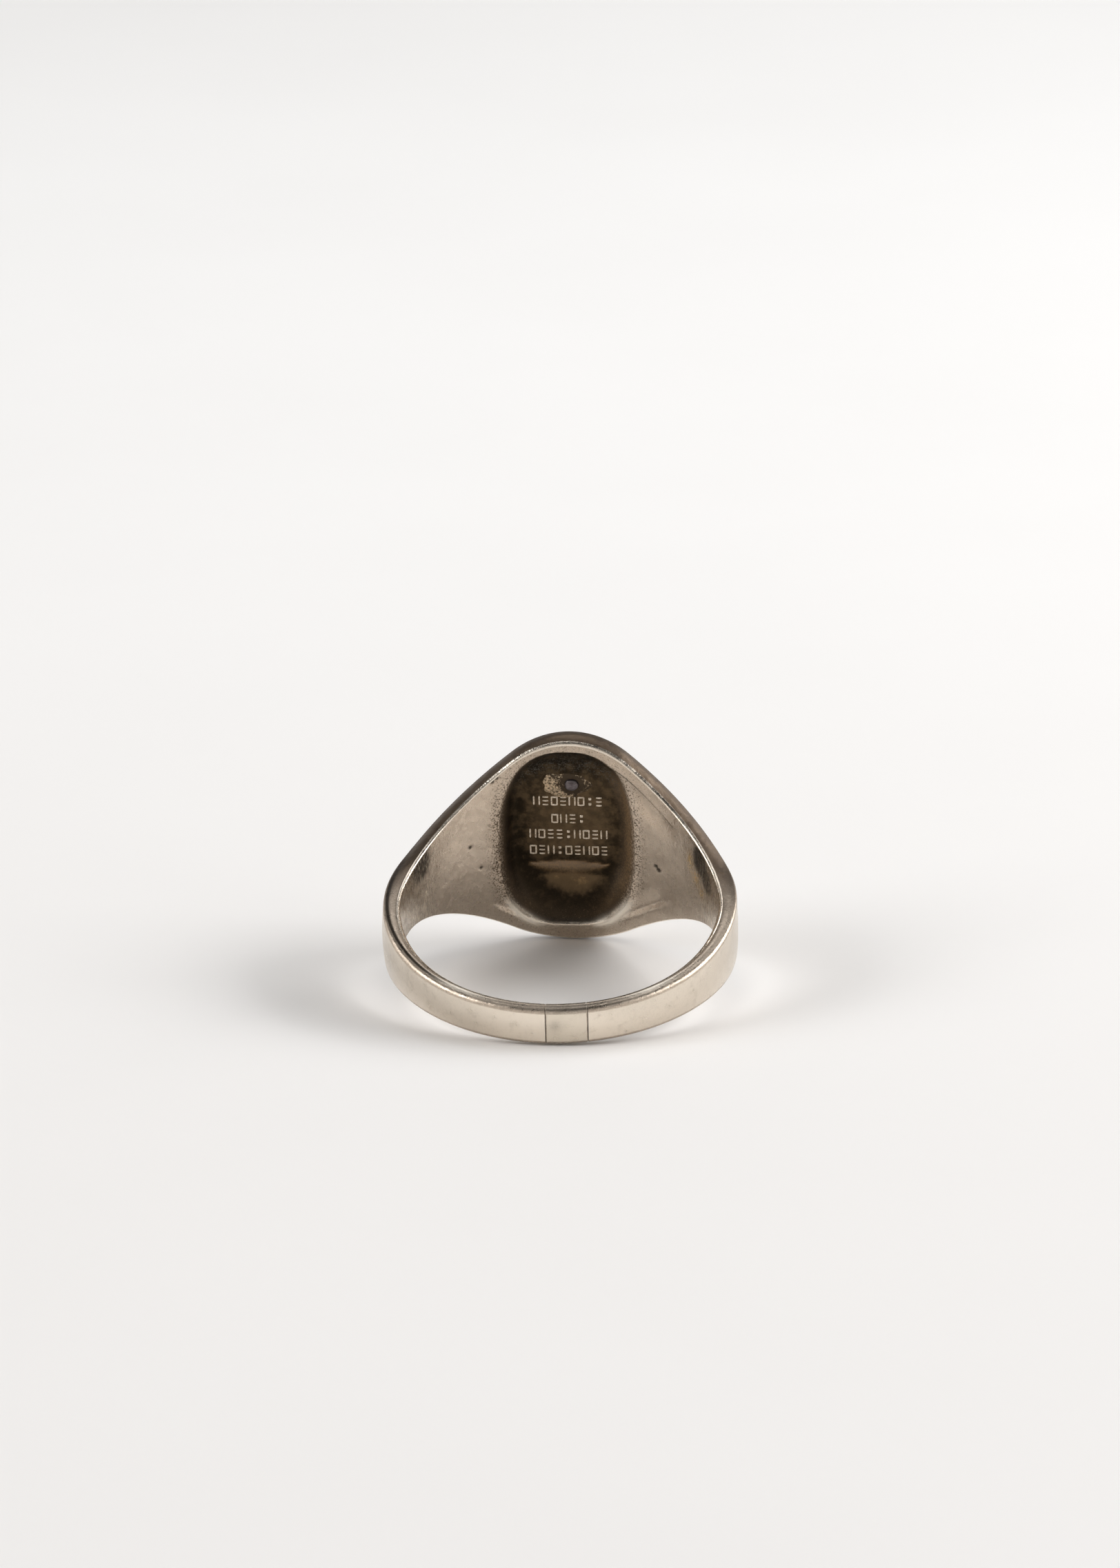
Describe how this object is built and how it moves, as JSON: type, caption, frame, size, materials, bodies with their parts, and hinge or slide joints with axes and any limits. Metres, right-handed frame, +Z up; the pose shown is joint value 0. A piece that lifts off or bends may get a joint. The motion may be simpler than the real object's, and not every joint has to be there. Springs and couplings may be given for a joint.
{
  "type": "signet ring",
  "caption": "Silver signet ring with a hollow-backed oval head, a plain applied shield and a narrow hoop let out at the back, lying on its side.",
  "frame": {"origin": "middle of the ring's footprint, on the surface that it lies on", "axes": "+Y from the narrow back of the hoop towards the signet head, +Z up from the surface, +X across the hoop; the finger's axis lies in the Y-Z plane, 16.4 degrees off Z"},
  "size_m": [0.0212, 0.0232, 0.0141],
  "materials": {
    "tarnished_silver": "worn sterling silver, warm and satin, nearly black with age inside the hollow back",
    "hoop_silver": "worn sterling silver with a soft polish",
    "hard_solder": "grey silver solder, slightly rough",
    "emblem_silver": "rubbed silver, brighter than the ground behind it",
    "post_metal": "dark grey wire end, filed flat"
  },
  "bodies": {
    "root": {"ring_body": "tarnished_silver", "sizing_insert": "hoop_silver", "solder_seam_left": "hard_solder", "solder_seam_right": "hard_solder", "shield_emblem": "emblem_silver", "emblem_post": "post_metal", "post_solder": "hard_solder"}
  },
  "joints": []
}
